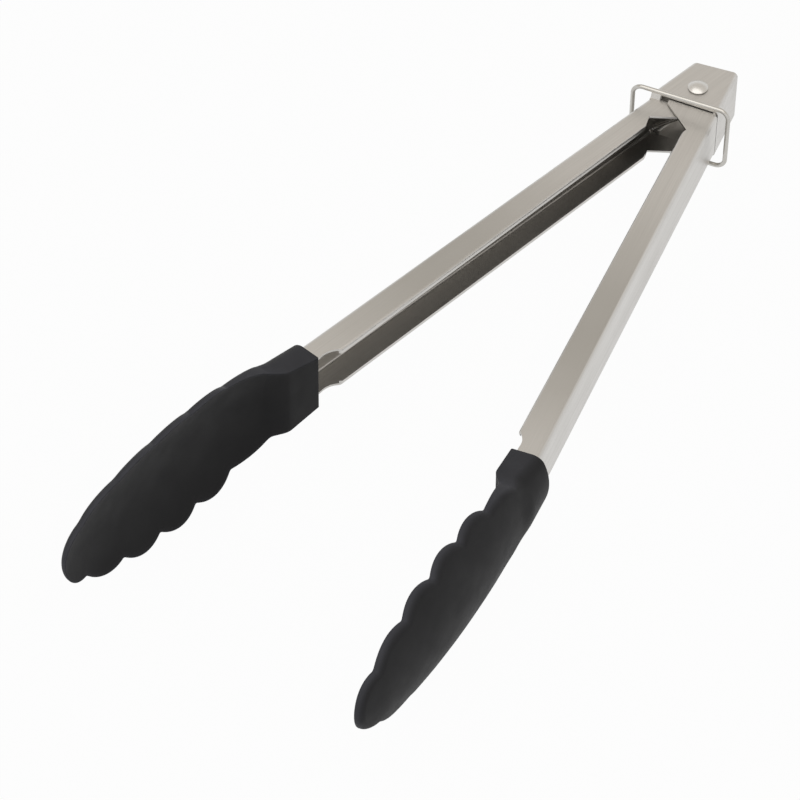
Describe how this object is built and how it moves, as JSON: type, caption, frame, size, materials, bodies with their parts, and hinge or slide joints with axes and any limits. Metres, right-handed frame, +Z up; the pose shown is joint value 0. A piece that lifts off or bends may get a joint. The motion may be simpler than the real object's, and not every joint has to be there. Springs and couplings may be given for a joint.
{
  "type": "kitchen tongs",
  "caption": "Spring loaded kitchen tongs with folded steel channel arms, scalloped black moulded heads and a sliding wire lock ring.",
  "frame": {"origin": "under the middle of the open tongs, on the surface that they lie on", "axes": "+Z up along the rivet, +Y from the heads to the pivot end, -X towards the outer arm"},
  "size_m": [0.1152, 0.3101, 0.0466],
  "materials": {
    "arm_steel": "brushed along the arms",
    "wire_steel": "bright drawn wire",
    "rivet_steel": "polished dome",
    "head_nylon": "fine matte"
  },
  "bodies": {
    "pivot": {"pivot_rivet": "rivet_steel", "torsion_spring": "wire_steel"},
    "left_arm": {"outer_arm": "arm_steel", "left_head": "head_nylon"},
    "right_arm": {"inner_arm": "arm_steel", "right_head": "head_nylon"},
    "ring": {"lock_ring": "wire_steel"}
  },
  "joints": [
    {"name": "left_arm_hinge", "type": "hinge", "parent": "pivot", "child": "left_arm", "pos_m": [0, 0.14074, 0.02066], "axis": [0, 0, 1], "range_deg": [0, 9.95], "stiffness_Nm_per_rad": 2, "springref_deg": -20.05, "deforming": ["torsion_spring"]},
    {"name": "right_arm_hinge", "type": "hinge", "parent": "pivot", "child": "right_arm", "pos_m": [0, 0.14074, 0.02066], "axis": [0, 0, 1], "range_deg": [-9.95, 0], "stiffness_Nm_per_rad": 2, "springref_deg": 20.05, "deforming": ["torsion_spring"]},
    {"name": "ring_slide", "type": "slide", "parent": "pivot", "child": "ring", "axis": [0, -1, 0], "range_m": [0, 0.06]}
  ],
  "couplings": [
    {"joint": "right_arm_hinge", "follows": "left_arm_hinge", "ratio": -1},
    {"joint": "ring_slide", "follows": "left_arm_hinge", "m_per_rad": 0.3453}
  ]
}
